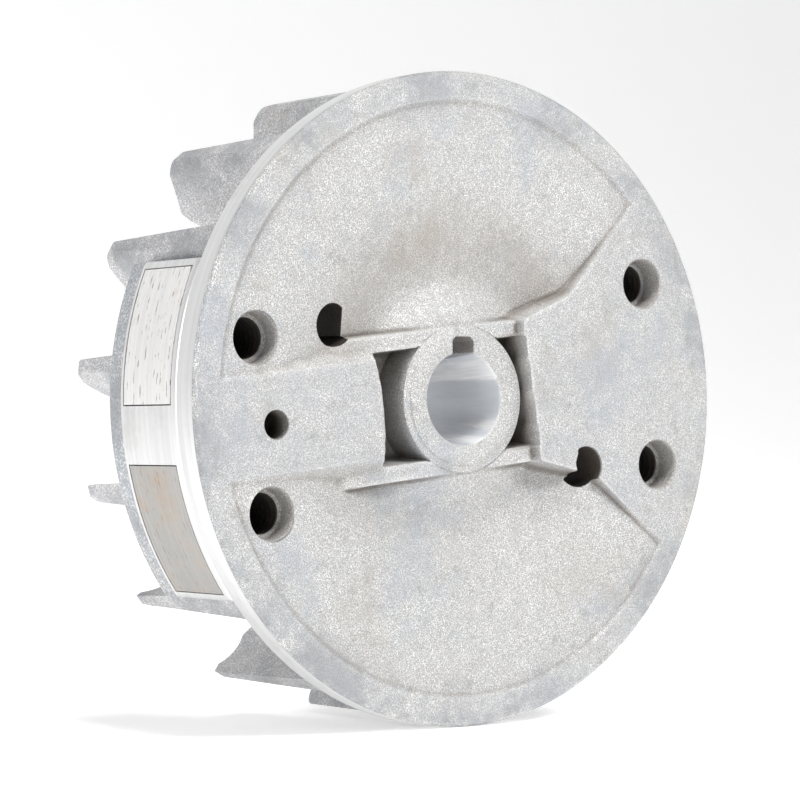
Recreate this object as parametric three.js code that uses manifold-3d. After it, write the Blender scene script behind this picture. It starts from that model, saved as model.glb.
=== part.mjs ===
// Magneto flywheel of a small two-stroke engine, in millimetres, +Z up.
//
// The crankshaft bore runs along Y. The crank enters at the hub's engine-side end, which is the
// origin and faces -Y. The cooling blades stand on the other side and point to +Y.
// The casting's layout (ribs, land, magnet sector) is square to its own pair of axes, u and v,
// which are X and Z turned by layoutTurn about the bore.

import * as THREE from 'three';
import { mergeVertices } from 'three/addons/utils/BufferGeometryUtils.js';
import Module from 'manifold-3d';

const wasm = await Module();
wasm.setup();

// ---- driving dimensions ----------------------------------------------------------------------

// rim flange
const rimRadius = 55;
const rimChamfer = 0.7;
const rimFaceY = -1.4;           // the rim's face stands proud of the hub's end
const rimBackY = 3.9;
const rimLandRadius = rimRadius - 4.8;    // inner edge of the flat ring inside the rim

// hub and crankshaft taper
const hubRadius = 12.5;
const hubRingRadius = hubRadius - 1.3;    // inside this the end face stands a little proud
const hubRingStep = 0.25;
const hubBackRadius = hubRadius + 0.5;
const hubLength = 27;
const boreRadius = 7.85;         // at the engine side
const boreTaper = 5;             // 1 in 5 on diameter
const keyWidth = 4.5;
const keyDepth = 2.6;
const keyCentre = -0.2;

// layout of the engine-side face
const layoutTurn = 6.5;          // degrees from X to u
const recessSpan = 73.2;         // degrees of raised sector opposite the magnets
const upperKnee = [23.9, 15.4];  // corner of the upper recess between the sector and its rib
const lowerKnee = [26.6, -16.3];
const landHalf = 8;              // raised land towards the magnets: half width of its flat top
const landFlank = 1;             // its flanks widen by this much per mm of depth
const landDepth = 2.6;
const ribInner = hubRadius - 3;  // the two ribs, measured from the u axis
const ribOuter = ribInner + 2.65;
const ribTopY = 0.4;
const ribStart = -33;            // where the ribs run out into the recess floor
const pocketLeft = -hubRadius - 6.5;
const pocketRight = hubRadius + 1.4;
const pocketRightLean = 0.55;    // the right wall leans by this much over the pocket's half width
const pocketFloorY = 7.5;
const pocketSlope = 4;           // run of the sloping left wall
const webThickness = 3.6;
const seatRadius = hubRadius + 10;        // thick seat around the hub on the blade side
const webBack = [[0.29, 5.4], [0.5, 4.4]];  // share of the way from hub to rim, and its back's Y
const dish = [                   // the same share, and the depth of the recesses behind the rim
  [1, 0.4], [0.836, 0.55], [0.729, 0.8], [0.623, 1.25], [0.507, 2], [0.385, 3.05],
  [0.279, 4.25], [0.212, 4.7], [0.146, 4], [0.066, 2.6], [0, 2],
];

// holes
const screwCircle = rimRadius - 11.1;     // radius of the four screw holes
const screwHalfMagnet = 18.8;    // degrees either side of the land's centre line
const screwHalfFar = 21.4;       // degrees either side of the raised sector's centre line
const screwRelief = 4.3;
const screwReliefDepth = 4.1;
const screwCore = 3.35;          // tapping size of an M8 thread
const screwBossWall = 3;
const screwBossY = 15.5;
const screwBlindY = 13;          // the magnet-side pair ends here, the far pair goes through
const coreSpots = [[29.1, 149.5], [28.4, 329.5]];  // radius, and degrees from u
const coreRadius = 3.6;
const coreFlat = 2.2;            // flat of the D-shaped hole, from its centre
const coreBossWall = 2.6;
const coreBossY = 16;
const pinRadius = 2.35;          // blind locating hole in the land
const pinCircle = rimRadius - 15.5;
const pinDepth = 5.3;

// cooling blades
const bladeCount = 16;
const bladeStart = 106.6;        // degrees from X to the first blade's outer edge
const bladeRadius = rimRadius - 1.1;
const bladeInnerRadius = rimRadius - 15;
const bladeEndY = 38.1;
const bladeLean = 37.6;          // degrees off the radius at the outer edge
const bladeBend = 17.8;          // radius of the blade's centre line
const bladeRun = 15.5;           // length of the centre line
const bladeTip = 2.2;            // thickness at the free end
const bladeRoot = 4.8;           // thickness at the web
const bladeCorner = 3;

// magnet sector
const sectorRadius = rimRadius - 0.2;
const sectorInner = sectorRadius - 10.2;
const sectorHalf = 30.8;         // degrees either side of the land's centre line
const shoeInner = sectorRadius - 6.2;
const shoeGapHalf = 5.2;         // degrees from the centre line to a pole shoe
const shoeSpan = 23.6;           // degrees
const shoeStartY = rimBackY + 1.95;
const shoeLength = 13.9;
const sectorBackY = shoeStartY + shoeLength + 5.25;
const laminations = 14;
const laminationGap = 0.05;      // varnish between two laminations
const castClearance = 0.2;       // between the casting and what it holds
const rivetRadius = 1.4;
const rivetHeadRadius = 2.2;
const rivetHead = 0.8;
const rivetInset = 0.22;         // share of the shoe's span from its end to the rivet
const rivetFit = 0.15;
const magnetOuter = sectorRadius - 2.2;
const magnetLength = shoeLength - 1.3;

// facets
const segments = 96;
const holeSegments = 28;

// ---- angles and places -------------------------------------------------------------------------

const rad = THREE.MathUtils.degToRad;
const magnetTurn = layoutTurn + 180;
const polar = (radius, degrees) => new THREE.Vector2(
  radius * Math.cos(rad(degrees)), radius * Math.sin(rad(degrees)));
const hubToRim = (share) => hubRadius + (rimLandRadius - hubRadius) * share;
const uv = (u, v) => new THREE.Vector2(u, v).rotateAround(new THREE.Vector2(), rad(layoutTurn));

// ---- solids ------------------------------------------------------------------------------------

// A closed three.js geometry as a solid that can be joined and cut.
function solid(geometry) {
  const bare = geometry.clone();
  bare.deleteAttribute('normal');
  bare.deleteAttribute('uv');
  const merged = mergeVertices(bare, 1e-4);
  return new wasm.Manifold(new wasm.Mesh({
    numProp: 3,
    vertProperties: new Float32Array(merged.attributes.position.array),
    triVerts: new Uint32Array(merged.index.array),
  }));
}

const join = (pieces) => pieces.reduce((all, piece) => all.add(piece));

// The solid again as a geometry with flat facets.
function geometryOf(manifold) {
  const mesh = manifold.getMesh();
  const geometry = new THREE.BufferGeometry();
  geometry.setAttribute('position', new THREE.BufferAttribute(mesh.vertProperties, 3));
  geometry.setIndex(new THREE.BufferAttribute(mesh.triVerts, 1));
  const flat = geometry.toNonIndexed();
  flat.computeVertexNormals();
  return flat;
}

// An outline in X and Z, carried along Y from y0 to y1.
function plateGeometry(outline, y0, y1, holes = []) {
  const shape = new THREE.Shape(outline);
  shape.holes = holes.map((points) => new THREE.Path(points));
  const geometry = new THREE.ExtrudeGeometry(shape, { depth: y1 - y0, bevelEnabled: false });
  return geometry.rotateX(Math.PI / 2).translate(0, y1, 0);
}

const plate = (outline, y0, y1) => solid(plateGeometry(outline, y0, y1));

// Points of a circle about a centre, anticlockwise in X and Z.
function circle(centre, radius, count = holeSegments) {
  return Array.from({ length: count }, (_, i) => polar(radius, i * 360 / count).add(centre));
}

const rod = (centre, radius, y0, y1) => plate(circle(centre, radius), y0, y1);

// A closed profile of [radius, y] pairs, turned about the bore.
const turned = (profile, count = segments) => solid(
  new THREE.LatheGeometry(profile.map(([r, y]) => new THREE.Vector2(r, y)), count));

// An annular sector between two radii and two angles.
function sectorOutline(inner, outer, from, to, step = 4) {
  const count = Math.max(2, Math.ceil((to - from) / step));
  const arc = (radius) => Array.from({ length: count + 1 },
    (_, i) => polar(radius, from + (to - from) * i / count));
  return [...arc(outer), ...arc(inner).reverse()];
}

// ---- the die casting ---------------------------------------------------------------------------

// Rim, web and hub as one turned body. The web is thin outside the seat that backs the pocket.
function discBody() {
  const webBackY = pocketFloorY + webThickness;
  return turned([
    [0, rimFaceY], [rimRadius - rimChamfer, rimFaceY], [rimRadius, rimFaceY + rimChamfer],
    [rimRadius, rimBackY], [sectorInner, rimBackY + 0.4],
    ...webBack.toReversed().map(([share, y]) => [hubToRim(share), y]),
    [seatRadius, webBackY], [hubBackRadius + 2, webBackY], [hubBackRadius, webBackY + 2],
    [hubBackRadius, hubLength - 0.6], [hubBackRadius - 0.6, hubLength], [0, hubLength],
    [0, rimFaceY],
  ]);
}

function dishCutter() {
  const clear = rimFaceY - 1;
  const floor = dish.map(([share, depth]) => [hubToRim(share), rimFaceY + depth]);
  return turned([[0, clear], [rimLandRadius, clear], ...floor,
    [0, floor.at(-1)[1]], [0, clear]]);
}

// Plan outline of one recess. side is +1 above the u axis and -1 below it.
function recessOutline(side) {
  const far = recessSpan / 2;
  const start = 180 - THREE.MathUtils.radToDeg(Math.asin((landHalf - 1) / rimLandRadius));
  const reach = rimLandRadius + 4;
  const arc = Array.from({ length: 25 }, (_, i) => {
    const angle = far + (start - far) * i / 24;
    return uv(reach * Math.cos(rad(angle)), side * reach * Math.sin(rad(angle)));
  });
  const wall = pocketRight - side * pocketRightLean;
  const knee = side > 0 ? upperKnee : lowerKnee;
  const inner = [
    uv(pocketLeft, side * (landHalf - 1)), uv(wall - 1, side * (landHalf - 1)),
    uv(wall, side * (ribInner + 0.4)),
    uv(wall, side * ribOuter), uv(...knee),
  ];
  const outline = [...arc, ...inner];
  return side > 0 ? outline : outline.reverse();
}

// The raised land from the rim to the pocket: flat on top with sloping flanks.
function land() {
  const foot = landHalf + landFlank * landDepth;
  const profile = new THREE.Shape([
    [-landHalf, rimFaceY], [landHalf, rimFaceY], [foot, rimFaceY + landDepth],
    [foot, pocketFloorY], [-foot, pocketFloorY], [-foot, rimFaceY + landDepth],
  ].map(([v, y]) => new THREE.Vector2(v, y)));
  const length = rimLandRadius + pocketLeft;
  const bar = new THREE.ExtrudeGeometry(profile, { depth: length, bevelEnabled: false });
  bar.rotateY(Math.PI / 2).translate(-rimLandRadius, 0, 0);
  return solid(bar.rotateY(-rad(layoutTurn)));
}

// The pocket beside the hub: straight ribs above and below, a steep wall on the right and a
// sloping wall towards the magnets.
function pocketCutter() {
  const top = rimFaceY - 1;
  const plan = plate([
    uv(pocketLeft - 2, -ribInner), uv(pocketRight + pocketRightLean, -ribInner),
    uv(pocketRight - pocketRightLean, ribInner), uv(pocketLeft - 2, ribInner),
  ], top, pocketFloorY);
  const side = new THREE.Shape([
    [pocketLeft, rimFaceY], [pocketLeft + 1, rimFaceY + 0.6],
    [pocketLeft + pocketSlope, pocketFloorY + 0.01], [pocketRight + 3, pocketFloorY + 0.01],
    [pocketRight + 3, top], [pocketLeft, top],
  ].map(([u, y]) => new THREE.Vector2(u, y)));
  const slope = new THREE.ExtrudeGeometry(side, { depth: 2 * ribOuter, bevelEnabled: false });
  slope.translate(0, 0, -ribOuter).rotateY(-rad(layoutTurn));
  return plan.intersect(solid(slope));
}

function ribs() {
  const rib = (side) => {
    const corners = [
      uv(ribStart, side * ribInner), uv(pocketRight + 1, side * ribInner),
      uv(pocketRight + 1, side * ribOuter), uv(ribStart, side * ribOuter),
    ];
    return plate(side > 0 ? corners : corners.reverse(), ribTopY, pocketFloorY + 1);
  };
  return join([rib(1), rib(-1)]);
}

function hubFront() {
  return turned([
    [0, 0], [hubRingRadius, 0], [hubRingRadius + hubRingStep, hubRingStep],
    [hubRadius, hubRingStep], [hubRadius, pocketFloorY + 1], [0, pocketFloorY + 1], [0, 0],
  ]);
}

// One blade: a bent strip, thick at the web and thin at its free end.
function blade(index) {
  const turn = bladeStart + index * 360 / bladeCount;
  const outward = polar(1, turn);
  const across = polar(1, turn + 90);
  const start = outward.clone().multiplyScalar(bladeRadius);
  const lean = rad(bladeLean);
  const centre = start.clone()
    .addScaledVector(outward, -bladeBend * Math.sin(lean))
    .addScaledVector(across, -bladeBend * Math.cos(lean));
  const from = start.clone().sub(centre).angle();
  const extra = 2.5 / bladeBend;
  const arc = (radius) => Array.from({ length: 9 }, (_, i) => {
    const angle = from - extra + (bladeRun / bladeBend + extra) * i / 8;
    return new THREE.Vector2(Math.cos(angle), Math.sin(angle)).multiplyScalar(radius).add(centre);
  });
  const outline = [...arc(bladeBend + bladeRoot / 2), ...arc(bladeBend - bladeRoot / 2).reverse()];
  const geometry = plateGeometry(outline, rimBackY - 1, bladeEndY);
  const position = geometry.attributes.position;
  for (let i = 0; i < position.count; i += 1) {
    if (position.getY(i) > bladeEndY - 0.01) {
      const spoke = new THREE.Vector2(position.getX(i), position.getZ(i)).sub(centre);
      const offset = (spoke.length() - bladeBend) * bladeTip / bladeRoot;
      spoke.setLength(bladeBend + offset).add(centre);
      position.setX(i, spoke.x);
      position.setZ(i, spoke.y);
    }
  }
  return solid(geometry);
}

// All blades, trimmed to the rim radius, to rounded outer corners and to a falling inner end.
function blades() {
  const all = join(Array.from({ length: bladeCount }, (_, i) => blade(i)));
  const corner = [0, 30, 60, 90].map((angle) => [
    bladeRadius - bladeCorner * (1 - Math.cos(rad(angle))),
    bladeEndY - bladeCorner * (1 - Math.sin(rad(angle))),
  ]);
  const trim = turned([
    [bladeInnerRadius - 3, rimBackY - 1.5], [bladeRadius, rimBackY - 1.5], ...corner,
    [bladeInnerRadius + 4.5, bladeEndY - 0.6], [bladeInnerRadius + 1, bladeEndY - 4.5],
    [bladeInnerRadius - 3, 12], [bladeInnerRadius - 3, rimBackY - 1.5],
  ]);
  return all.intersect(trim);
}

const screwPlaces = [
  polar(screwCircle, magnetTurn - screwHalfMagnet), polar(screwCircle, magnetTurn + screwHalfMagnet),
  polar(screwCircle, layoutTurn + screwHalfFar), polar(screwCircle, layoutTurn - screwHalfFar),
];
const corePlaces = coreSpots.map(([radius, turn]) => polar(radius, layoutTurn + turn));

function bosses() {
  const root = rimBackY - 1;
  return join([
    ...screwPlaces.map((place) => rod(place, screwCore + screwBossWall, root, screwBossY)),
    ...corePlaces.map((place) => rod(place, coreRadius + coreBossWall, root, coreBossY)),
  ]);
}

function sectorBlock() {
  const outline = sectorOutline(sectorInner, sectorRadius,
    magnetTurn - sectorHalf, magnetTurn + sectorHalf, 3.85);
  return plate(outline, rimBackY - 1, sectorBackY);
}

// Bore with its cast keyway. The keyway keeps its depth below the tapered wall.
function boreCutter() {
  const out = 1;
  const radiusAt = (y) => boreRadius - y / boreTaper / 2;
  const cone = turned([
    [0, -out], [radiusAt(-out), -out], [radiusAt(hubLength + out), hubLength + out],
    [0, hubLength + out], [0, -out],
  ], 48);
  const half = keyWidth / 2;
  const top = boreRadius + keyDepth;
  const slot = [
    [-half, 2], [half, 2], [half, top - 0.7], [half - 0.7, top], [-half + 0.7, top],
    [-half, top - 0.7],
  ].map(([x, z]) => new THREE.Vector2(keyCentre + x, z));
  return cone.add(plate(slot, -out, hubLength + out));
}

function holeCutters() {
  const front = rimFaceY - 1;
  const screws = screwPlaces.flatMap((place) => [
    rod(place, screwRelief, front, rimFaceY + screwReliefDepth),
    rod(place, screwCore, front, place.x < 0 ? screwBlindY : screwBossY + 1),
  ]);
  const cores = corePlaces.map((place) => {
    const towardsHub = -Math.sign(place.x);
    const flat = [[coreFlat, -1.9], [coreFlat + 4, -1.5], [coreFlat + 4, 6], [coreFlat, 6]]
      .map(([x, z]) => new THREE.Vector2(place.x + towardsHub * x, place.y + z));
    return rod(place, coreRadius, front, coreBossY + 1)
      .subtract(plate(towardsHub > 0 ? flat : flat.reverse(), front - 1, coreBossY + 2));
  });
  const pin = rod(polar(pinCircle, magnetTurn), pinRadius, front, rimFaceY + pinDepth);
  return join([...screws, ...cores, pin]);
}

// ---- pole shoes and magnet ---------------------------------------------------------------------

const shoeStarts = [magnetTurn - shoeGapHalf - shoeSpan, magnetTurn + shoeGapHalf];
const rivetCircle = (shoeInner + sectorRadius) / 2;
const rivetTurns = [rivetInset, 1 - rivetInset];
const rivetPlaces = shoeStarts.map((start) => rivetTurns.map(
  (share) => polar(rivetCircle, start + shoeSpan * share)));

// Window in the casting for the two shoes, their rivet heads and the magnet between them.
function magnetCutter() {
  const gap = castClearance;
  const gapTurn = THREE.MathUtils.radToDeg(gap / sectorRadius);
  const y0 = shoeStartY - gap;
  const y1 = shoeStartY + shoeLength + gap;
  const shoes = shoeStarts.map((start) => plate(sectorOutline(shoeInner - gap, sectorRadius + 1,
    start - gapTurn, start + shoeSpan + gapTurn, 3), y0, y1));
  const heads = rivetPlaces.flat().map((place) => rod(place, rivetHeadRadius + gap,
    y0 - rivetHead, y1 + rivetHead));
  const middle = shoeStartY + shoeLength / 2;
  const magnet = plate(sectorOutline(shoeInner - gap, magnetOuter + gap,
    magnetTurn - shoeGapHalf - 1, magnetTurn + shoeGapHalf + 1, 3),
  middle - magnetLength / 2 - gap, middle + magnetLength / 2 + gap);
  return join([...shoes, ...heads, magnet]);
}

// One lamination of a pole shoe, with its two rivet holes.
function lamination(shoe, index) {
  const start = shoeStarts[shoe];
  const pitch = shoeLength / laminations;
  const y0 = shoeStartY + index * pitch;
  const outline = sectorOutline(shoeInner, sectorRadius, start, start + shoeSpan, 3);
  const holes = rivetPlaces[shoe].map((place) => circle(place, rivetRadius + rivetFit, 10));
  return plateGeometry(outline, y0, y0 + pitch - laminationGap, holes);
}

function rivet(place) {
  const y0 = shoeStartY;
  const y1 = shoeStartY + shoeLength - laminationGap;
  const profile = [
    [0, y0 - rivetHead], [rivetHeadRadius - 0.5, y0 - rivetHead], [rivetHeadRadius, y0 - 0.35],
    [rivetHeadRadius, y0 - 0.02], [rivetRadius, y0 - 0.02], [rivetRadius, y1 + 0.02],
    [rivetHeadRadius, y1 + 0.02], [rivetHeadRadius, y1 + 0.35],
    [rivetHeadRadius - 0.5, y1 + rivetHead], [0, y1 + rivetHead], [0, y0 - rivetHead],
  ].map(([r, y]) => new THREE.Vector2(r, y));
  return new THREE.LatheGeometry(profile, 16).translate(place.x, 0, place.y);
}

function magnet() {
  const middle = shoeStartY + shoeLength / 2;
  const gapTurn = THREE.MathUtils.radToDeg(castClearance / shoeInner);
  const outline = sectorOutline(shoeInner, magnetOuter, magnetTurn - shoeGapHalf + gapTurn,
    magnetTurn + shoeGapHalf - gapTurn, 3);
  return plateGeometry(outline, middle - magnetLength / 2, middle + magnetLength / 2);
}

// ---- assembly ----------------------------------------------------------------------------------

function casting() {
  const recesses = join([1, -1].map((side) => plate(recessOutline(side), rimFaceY - 2, 9)
    .intersect(dishCutter())));
  return join([discBody(), bosses(), sectorBlock(), blades()])
    .subtract(recesses)
    .add(land())
    .subtract(pocketCutter())
    .add(ribs())
    .add(hubFront())
    .subtract(boreCutter())
    .subtract(holeCutters())
    .subtract(magnetCutter());
}

const castAluminium = new THREE.MeshStandardMaterial({
  color: 0xc9c8c6, roughness: 0.55, metalness: 0.9 });
const laminationSteel = new THREE.MeshStandardMaterial({
  color: 0xb4b1ad, roughness: 0.45, metalness: 0.95 });
const rivetSteel = new THREE.MeshStandardMaterial({
  color: 0x8f8d8a, roughness: 0.4, metalness: 1 });
const magnetAlloy = new THREE.MeshStandardMaterial({
  color: 0x4c4a48, roughness: 0.6, metalness: 0.6 });

const flywheel = new THREE.Group();

function place(name, geometry, material) {
  const mesh = new THREE.Mesh(geometry, material);
  mesh.name = name;
  flywheel.add(mesh);
}

place('casting', geometryOf(casting()), castAluminium);
['leading', 'trailing'].forEach((shoeName, shoe) => {
  for (let i = 0; i < laminations; i += 1) {
    const number = String(i + 1).padStart(2, '0');
    place(`${shoeName}_shoe_lamination_${number}`, lamination(shoe, i), laminationSteel);
  }
  rivetPlaces[shoe].forEach((spot, i) => {
    place(`${shoeName}_shoe_rivet_${i + 1}`, rivet(spot), rivetSteel);
  });
});
place('magnet', magnet(), magnetAlloy);

export default flywheel;
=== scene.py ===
# %% [markdown]
# # Magneto flywheel of a small engine
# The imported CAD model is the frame. It has one rigid body, "root", and every piece rides on it.
# Lengths below are worked out in millimetres, as a pattern maker would, and become metres only
# when they go into a mesh. The crankshaft bore runs along Y and the engine side faces -Y.
# The plane of the face has its own axes u and v: X and Z turned by the layout angle.

import bpy
import numpy as np
from mathutils import Matrix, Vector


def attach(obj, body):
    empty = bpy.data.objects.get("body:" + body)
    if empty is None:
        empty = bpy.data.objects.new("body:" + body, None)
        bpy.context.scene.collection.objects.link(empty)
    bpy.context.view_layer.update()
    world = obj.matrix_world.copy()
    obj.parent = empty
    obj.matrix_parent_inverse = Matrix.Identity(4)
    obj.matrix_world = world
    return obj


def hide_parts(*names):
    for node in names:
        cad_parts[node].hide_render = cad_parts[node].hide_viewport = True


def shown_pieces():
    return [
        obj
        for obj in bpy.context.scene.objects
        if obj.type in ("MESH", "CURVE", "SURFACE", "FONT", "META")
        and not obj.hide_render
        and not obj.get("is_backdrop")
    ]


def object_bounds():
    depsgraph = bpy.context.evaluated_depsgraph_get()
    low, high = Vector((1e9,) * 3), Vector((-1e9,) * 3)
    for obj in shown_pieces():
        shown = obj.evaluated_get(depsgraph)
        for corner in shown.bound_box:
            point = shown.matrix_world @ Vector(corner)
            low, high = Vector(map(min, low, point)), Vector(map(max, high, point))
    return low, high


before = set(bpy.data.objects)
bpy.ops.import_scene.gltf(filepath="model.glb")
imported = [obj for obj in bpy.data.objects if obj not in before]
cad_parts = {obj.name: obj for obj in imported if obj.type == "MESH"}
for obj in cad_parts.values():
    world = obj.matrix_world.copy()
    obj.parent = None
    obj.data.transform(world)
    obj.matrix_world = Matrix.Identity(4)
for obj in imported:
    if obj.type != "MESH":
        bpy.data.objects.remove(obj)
CAD_BOX = [[float(c) for c in corner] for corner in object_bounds()]
MM = 0.001
print("CAD box in mm:", [[round(c / MM, 2) for c in corner] for corner in CAD_BOX])

# %% [markdown]
# ## Camera and stage
# The camera looks at the engine side from the left, almost level with the bore, through a long
# lens. The floor sweeps up into a backdrop, so no horizon shows behind the part.


# %% Camera
def set_camera(azimuth, elevation, target, distance, lens):
    """The camera stands at target + distance * direction. The direction is (sin a cos e,
    -cos a cos e, sin e), so azimuth 0 looks along +Y."""
    a, e = np.radians(azimuth), np.radians(elevation)
    back = np.array([np.sin(a) * np.cos(e), -np.cos(a) * np.cos(e), np.sin(e)])
    right = np.array([np.cos(a), np.sin(a), 0.0])
    up = np.cross(back, right)
    camera = bpy.data.objects.new("camera", bpy.data.cameras.new("camera"))
    turn = Matrix([list(row) for row in np.stack([right, up, back], axis=1)]).to_4x4()
    place = (np.array(target) + back * distance) * MM
    camera.matrix_world = Matrix.Translation([float(c) for c in place]) @ turn
    camera.data.lens = lens
    camera.data.sensor_width = 36
    camera.data.clip_start = 0.01
    bpy.context.scene.collection.objects.link(camera)
    bpy.context.scene.camera = camera
    return camera


camera = set_camera(-37.083, -0.741, (-14.61, -1.4, -0.34), 472.65, 129.1)
print("camera at", [round(c, 4) for c in camera.matrix_world.translation])


# %% [markdown]
# ## From numbers to meshes
# Every piece is an array of points and an array of faces. A grid of points needs no list of
# faces by hand, since the face at row i and column j always joins the same four neighbours.


# %% Numbers into a mesh
def make_piece(name, points, faces, smooth_angle=32.0):
    """A mesh from points in millimetres (n x 3) and a list of face arrays (m x 3 or m x 4).
    Faces sharper than smooth_angle keep a crisp edge."""
    mesh = bpy.data.meshes.new(name)
    points = np.asarray(points, dtype=np.float64) * MM
    loops = np.concatenate([np.asarray(f, dtype=np.int32).ravel() for f in faces])
    sizes = np.concatenate([np.full(len(f), np.asarray(f).shape[1], dtype=np.int32)
                            for f in faces])
    mesh.vertices.add(len(points))
    mesh.vertices.foreach_set("co", points.astype(np.float32).ravel())
    mesh.loops.add(len(loops))
    mesh.loops.foreach_set("vertex_index", loops)
    mesh.polygons.add(len(sizes))
    starts = np.concatenate([[0], np.cumsum(sizes)[:-1]]).astype(np.int32)
    mesh.polygons.foreach_set("loop_start", starts)
    mesh.polygons.foreach_set("use_smooth", np.ones(len(sizes), dtype=bool))
    mesh.update(calc_edges=True)
    mesh.validate()
    mesh.set_sharp_from_angle(angle=np.radians(smooth_angle))
    piece = bpy.data.objects.new(name, mesh)
    bpy.context.scene.collection.objects.link(piece)
    print(name, len(points), "points,", len(sizes), "faces")
    return piece


def grid_faces(rows, columns, close_columns=False, start=0, flip=False):
    """Quads between neighbours of a rows x columns grid of points numbered row by row."""
    i = np.arange(rows - 1)[:, None]
    j = np.arange(columns if close_columns else columns - 1)[None, :]
    k = (j + 1) % columns
    quads = np.stack([i * columns + j, i * columns + k, (i + 1) * columns + k,
                      (i + 1) * columns + j], axis=-1).reshape(-1, 4) + start
    return quads[:, ::-1] if flip else quads


def paint_number(piece, name, values):
    """Keeps one number per point on the mesh, for a material to read."""
    attribute = piece.data.attributes.new(name, "FLOAT", "POINT")
    attribute.data.foreach_set("value", np.asarray(values, dtype=np.float32))


def kept(faces, points, spots, reach, floor_y, ceiling_y):
    """The faces whose middle is not inside one of the holes: nearer to its axis than reach,
    and between the two levels."""
    middle = points[faces].mean(axis=1)
    out = np.zeros(len(faces), dtype=bool)
    for x, z in spots:
        out |= np.hypot(middle[:, 0] - x, middle[:, 2] - z) < reach
    return faces[~(out & (middle[:, 1] > floor_y) & (middle[:, 1] < ceiling_y))]


# %% [markdown]
# ## Floor
# The floor is a pale sheet that bends up behind the part, as a paper roll does in a studio. It is
# part of the stage, and is marked as a backdrop. A little glow keeps its far end as pale as its near
# end.


# %% Floor that sweeps up into a backdrop
def sweep_profile(depth, height, bend, count=48):
    """Flat floor, a quarter circle of radius bend, then a straight wall, as (y, z) points."""
    turn = np.linspace(0, np.pi / 2, count)
    arc = np.stack([depth - bend + bend * np.sin(turn), bend - bend * np.cos(turn)], axis=1)
    return np.concatenate([[[-4000.0, 0.0]], arc, [[depth, height]]])


profile = sweep_profile(1400.0, 2600.0, 900.0)
across = np.array([-4000.0, 4000.0])
floor_z = CAD_BOX[0][2] / MM - 0.05
points = np.stack(np.broadcast_arrays(across[None, :], profile[:, None, 0],
                                      profile[:, None, 1] + floor_z), axis=-1)
floor = make_piece("floor", points.reshape(-1, 3), [grid_faces(len(profile), 2)])
floor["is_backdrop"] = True
plain_floor = bpy.data.materials.new("pale floor")
plain_floor.use_nodes = True
floor_shader = plain_floor.node_tree.nodes["Principled BSDF"]
floor_shader.inputs["Base Color"].default_value = (0.95, 0.95, 0.95, 1)
floor_shader.inputs["Roughness"].default_value = 0.9
floor_shader.inputs["Emission Color"].default_value = (1, 1, 1, 1)
floor_shader.inputs["Emission Strength"].default_value = 0.36
floor.data.materials.append(plain_floor)

# %% [markdown]
# ## The layout of the face
# The ribs, the land towards the magnets and the pocket are square to u and v. Two helpers turn
# points between (x, z) and (u, v), and one gives the distance to an outline, which decides where
# a wall stands and how its foot is rounded.

# %% Layout axes
TURN = np.radians(6.5)


def to_layout(x, z):
    """u and v of points: x and z turned back by the layout angle."""
    return x * np.cos(TURN) + z * np.sin(TURN), z * np.cos(TURN) - x * np.sin(TURN)


def from_layout(u, v):
    """x and z of points given by u and v."""
    return u * np.cos(TURN) - v * np.sin(TURN), u * np.sin(TURN) + v * np.cos(TURN)


def outline_distance(u, v, corners):
    """Signed distance of points to a closed outline, negative inside, and the direction away
    from its nearest point. For each side: the nearest point of the segment, and a parity count
    of the sides crossed on the way to the right."""
    points = np.stack([u, v], axis=-1)
    best = np.full(u.shape, 1e9)
    away = np.zeros(points.shape)
    inside = np.zeros(u.shape, dtype=bool)
    for a, b in zip(corners, np.roll(corners, -1, axis=0)):
        side = b - a
        share = np.clip((points - a) @ side / (side @ side), 0, 1)
        gap = points - (a + share[..., None] * side)
        reach = np.hypot(gap[..., 0], gap[..., 1])
        closer = reach < best
        best = np.where(closer, reach, best)
        normal = np.array([side[1], -side[0]]) / np.hypot(*side)
        unit = np.where(reach[..., None] > 1e-6, gap / np.maximum(reach, 1e-6)[..., None], normal)
        away = np.where(closer[..., None], unit, away)
        if abs(side[1]) > 1e-9:
            crossing = a[0] + (v - a[1]) * side[0] / side[1]
            inside ^= ((a[1] > v) != (b[1] > v)) & (u < crossing)
    sign = np.where(inside, -1.0, 1.0)
    return best * sign, away * sign[..., None]


def soft_max(a, b, blend):
    """The larger of a and b, with a fillet about blend wide where they cross."""
    near = np.maximum(blend - np.abs(a - b), 0) / blend
    return np.maximum(a, b) + near * near * blend / 4


def soft_min(a, b, blend):
    return -soft_max(-a, -b, blend)


# %% [markdown]
# ## The engine side of the casting
# The face is a height over the (u, v) plane. Its highest parts, level with each other, are the
# rim ring, the raised sector and the land. Two dished recesses lie between them, and a pocket
# surrounds the hub between two ribs. Each part is one simple height, and the real surface is the
# highest of them with a fillet where two meet, as metal fills a corner of the die.

# %% Heights of the face, measured towards the engine from the hub's end
TOP = 1.4
DISH = np.array([[10, -0.6], [12.6, -0.65], [15, -1.2], [18, -2.6], [20.5, -3.3], [23, -2.85],
                 [27, -1.65], [31.6, -0.6], [36, 0.15], [40, 0.6], [44, 0.85], [48, 0.97],
                 [50.2, 1.0], [56, 1.0]])
RIB_INNER, RIB_OUTER, RIB_TOP = 9.5, 12.15, -0.4
LAND_HALF = 8.0
POCKET_FLOOR = -7.5
POCKET_LEFT, POCKET_RIGHT, POCKET_LEAN = -19.6, 13.9, 0.55


def dish_height(r):
    """A smooth curve through the measured radii: three passes of a running mean over the
    straight lines between them."""
    fine = np.linspace(10, 56, 461)
    curve = np.interp(fine, DISH[:, 0], DISH[:, 1])
    for _ in range(3):
        curve = np.convolve(np.pad(curve, 9, mode="edge"), np.ones(19) / 19, mode="valid")
    return np.interp(r, fine, curve)


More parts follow.
